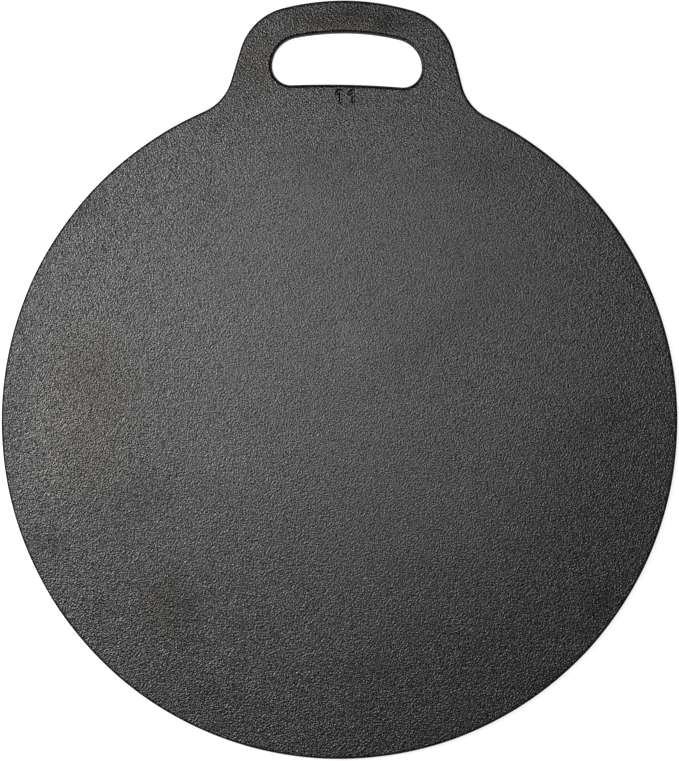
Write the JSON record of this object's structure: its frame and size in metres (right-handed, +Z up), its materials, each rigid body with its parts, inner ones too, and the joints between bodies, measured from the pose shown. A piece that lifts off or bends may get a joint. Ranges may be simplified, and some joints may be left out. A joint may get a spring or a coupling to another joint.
{
  "type": "flat griddle",
  "caption": "Flat round cast-iron griddle with rounded edges and a slotted loop handle in the plane of the disc, for baking flatbreads over a burner, oven rack or fire.",
  "frame": {"origin": "middle of the round disc, on the flat underside that the griddle rests on", "axes": "+Z up, out of the cooking face; +Y from the middle of the disc to the middle of the loop handle; +X across the slot, to the right with the handle pointing away"},
  "size_m": [0.2794, 0.3135, 0.005],
  "materials": {
    "seasoned_iron": "sand-cast grey iron, fine pebbled as-cast grain, under a baked-on oil seasoning: charcoal grey with a satin sheen"
  },
  "bodies": {
    "root": {"cooking_plate": "seasoned_iron", "loop_handle": "seasoned_iron"}
  },
  "joints": []
}
